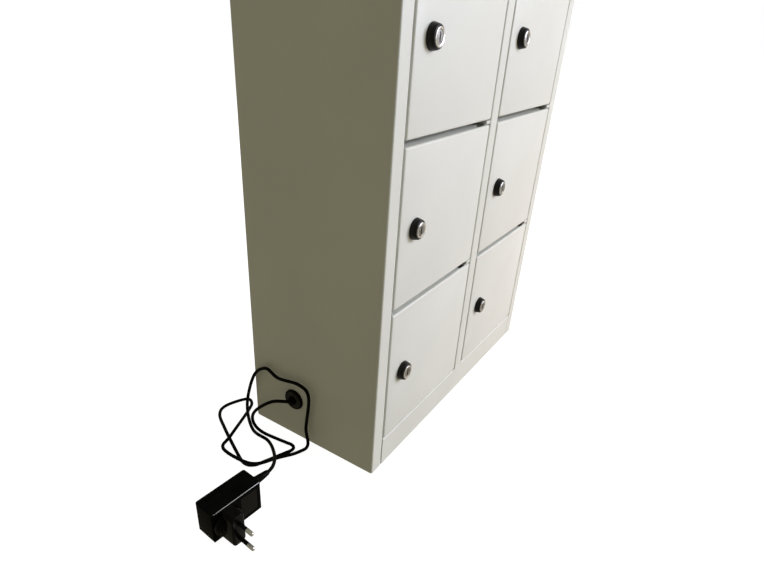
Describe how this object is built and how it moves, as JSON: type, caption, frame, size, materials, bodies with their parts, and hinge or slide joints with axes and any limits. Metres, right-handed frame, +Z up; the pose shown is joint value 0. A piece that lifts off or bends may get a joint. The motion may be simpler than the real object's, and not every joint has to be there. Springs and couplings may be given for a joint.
{
  "type": "phone locker",
  "caption": "Folded-steel cabinet of small hinged compartments with cam locks and a wall-plug charging lead, for storing phones.",
  "frame": {"origin": "centre of the base, on the surface the cabinet stands on, measured on the cabinet without locks and lead", "axes": "+Z up, +X to the right as seen from the front, the doors face -Y"},
  "size_m": [0.5354, 0.2087, 0.645],
  "materials": {
    "frame_paint": "light grey powder coat, fine texture",
    "door_paint": "light grey powder coat, fine texture",
    "black_plastic": "black moulded plastic",
    "chrome": "polished nickel chrome on die-cast zinc",
    "zinc": "bright zinc-plated steel",
    "rubber": "dark moulded rubber",
    "lead_jacket": "satin black PVC",
    "circuit_board": "green solder mask"
  },
  "bodies": {
    "cabinet": {"left_side_panel": "frame_paint", "right_side_panel": "frame_paint", "top_panel": "frame_paint", "base_pan": "frame_paint", "plinth_plate": "frame_paint", "back_panel": "frame_paint", "centre_partition": "frame_paint", "shelves": "frame_paint", "inner_back_panel": "frame_paint", "hinge_tabs": "frame_paint", "hinge_pins": "zinc", "cable_grommet": "rubber", "charging_sockets": "black_plastic", "charging_board": "circuit_board", "board_standoffs": "zinc", "supply_lead": "lead_jacket", "power_cord": "lead_jacket", "cord_strain_relief": "lead_jacket", "adapter_housing": "black_plastic", "plug_head": "black_plastic"},
    "door_body_1_left": {"door_1_left": "door_paint", "lock_collar_1_left": "black_plastic", "lock_barrel_1_left": "chrome"},
    "lock_rotor_1_left": {"lock_plug_1_left": "chrome", "lock_cam_1_left": "zinc"},
    "door_body_1_right": {"door_1_right": "door_paint", "lock_collar_1_right": "black_plastic", "lock_barrel_1_right": "chrome"},
    "lock_rotor_1_right": {"lock_plug_1_right": "chrome", "lock_cam_1_right": "zinc"},
    "door_body_2_left": {"door_2_left": "door_paint", "lock_collar_2_left": "black_plastic", "lock_barrel_2_left": "chrome"},
    "lock_rotor_2_left": {"lock_plug_2_left": "chrome", "lock_cam_2_left": "zinc"},
    "door_body_2_right": {"door_2_right": "door_paint", "lock_collar_2_right": "black_plastic", "lock_barrel_2_right": "chrome"},
    "lock_rotor_2_right": {"lock_plug_2_right": "chrome", "lock_cam_2_right": "zinc"},
    "door_body_3_left": {"door_3_left": "door_paint", "lock_collar_3_left": "black_plastic", "lock_barrel_3_left": "chrome"},
    "lock_rotor_3_left": {"lock_plug_3_left": "chrome", "lock_cam_3_left": "zinc"},
    "door_body_3_right": {"door_3_right": "door_paint", "lock_collar_3_right": "black_plastic", "lock_barrel_3_right": "chrome"},
    "lock_rotor_3_right": {"lock_plug_3_right": "chrome", "lock_cam_3_right": "zinc"},
    "door_body_4_left": {"door_4_left": "door_paint", "lock_collar_4_left": "black_plastic", "lock_barrel_4_left": "chrome"},
    "lock_rotor_4_left": {"lock_plug_4_left": "chrome", "lock_cam_4_left": "zinc"},
    "door_body_4_right": {"door_4_right": "door_paint", "lock_collar_4_right": "black_plastic", "lock_barrel_4_right": "chrome"},
    "lock_rotor_4_right": {"lock_plug_4_right": "chrome", "lock_cam_4_right": "zinc"}
  },
  "joints": [
    {"name": "door_hinge_1_left", "type": "hinge", "parent": "cabinet", "child": "door_body_1_left", "pos_m": [-0.015, -0.0765, 0.1065], "axis": [0, 0, 1], "range_deg": [0, 100]},
    {"name": "lock_turn_1_left", "type": "hinge", "parent": "door_body_1_left", "child": "lock_rotor_1_left", "pos_m": [-0.1458, -0.081, 0.1065], "axis": [0, 1, 0], "range_deg": [0, 90]},
    {"name": "door_hinge_1_right", "type": "hinge", "parent": "cabinet", "child": "door_body_1_right", "pos_m": [0.16775, -0.0765, 0.1065], "axis": [0, 0, 1], "range_deg": [0, 100]},
    {"name": "lock_turn_1_right", "type": "hinge", "parent": "door_body_1_right", "child": "lock_rotor_1_right", "pos_m": [0.03695, -0.081, 0.1065], "axis": [0, 1, 0], "range_deg": [0, 90]},
    {"name": "door_hinge_2_left", "type": "hinge", "parent": "cabinet", "child": "door_body_2_left", "pos_m": [-0.015, -0.0765, 0.2555], "axis": [0, 0, 1], "range_deg": [0, 100]},
    {"name": "lock_turn_2_left", "type": "hinge", "parent": "door_body_2_left", "child": "lock_rotor_2_left", "pos_m": [-0.1458, -0.081, 0.2555], "axis": [0, 1, 0], "range_deg": [0, 90]},
    {"name": "door_hinge_2_right", "type": "hinge", "parent": "cabinet", "child": "door_body_2_right", "pos_m": [0.16775, -0.0765, 0.2555], "axis": [0, 0, 1], "range_deg": [0, 100]},
    {"name": "lock_turn_2_right", "type": "hinge", "parent": "door_body_2_right", "child": "lock_rotor_2_right", "pos_m": [0.03695, -0.081, 0.2555], "axis": [0, 1, 0], "range_deg": [0, 90]},
    {"name": "door_hinge_3_left", "type": "hinge", "parent": "cabinet", "child": "door_body_3_left", "pos_m": [-0.015, -0.0765, 0.4045], "axis": [0, 0, 1], "range_deg": [0, 100]},
    {"name": "lock_turn_3_left", "type": "hinge", "parent": "door_body_3_left", "child": "lock_rotor_3_left", "pos_m": [-0.1458, -0.081, 0.4045], "axis": [0, 1, 0], "range_deg": [0, 90]},
    {"name": "door_hinge_3_right", "type": "hinge", "parent": "cabinet", "child": "door_body_3_right", "pos_m": [0.16775, -0.0765, 0.4045], "axis": [0, 0, 1], "range_deg": [0, 100]},
    {"name": "lock_turn_3_right", "type": "hinge", "parent": "door_body_3_right", "child": "lock_rotor_3_right", "pos_m": [0.03695, -0.081, 0.4045], "axis": [0, 1, 0], "range_deg": [0, 90]},
    {"name": "door_hinge_4_left", "type": "hinge", "parent": "cabinet", "child": "door_body_4_left", "pos_m": [-0.015, -0.0765, 0.5535], "axis": [0, 0, 1], "range_deg": [0, 100]},
    {"name": "lock_turn_4_left", "type": "hinge", "parent": "door_body_4_left", "child": "lock_rotor_4_left", "pos_m": [-0.1458, -0.081, 0.5535], "axis": [0, 1, 0], "range_deg": [0, 90]},
    {"name": "door_hinge_4_right", "type": "hinge", "parent": "cabinet", "child": "door_body_4_right", "pos_m": [0.16775, -0.0765, 0.5535], "axis": [0, 0, 1], "range_deg": [0, 100]},
    {"name": "lock_turn_4_right", "type": "hinge", "parent": "door_body_4_right", "child": "lock_rotor_4_right", "pos_m": [0.03695, -0.081, 0.5535], "axis": [0, 1, 0], "range_deg": [0, 90]}
  ]
}
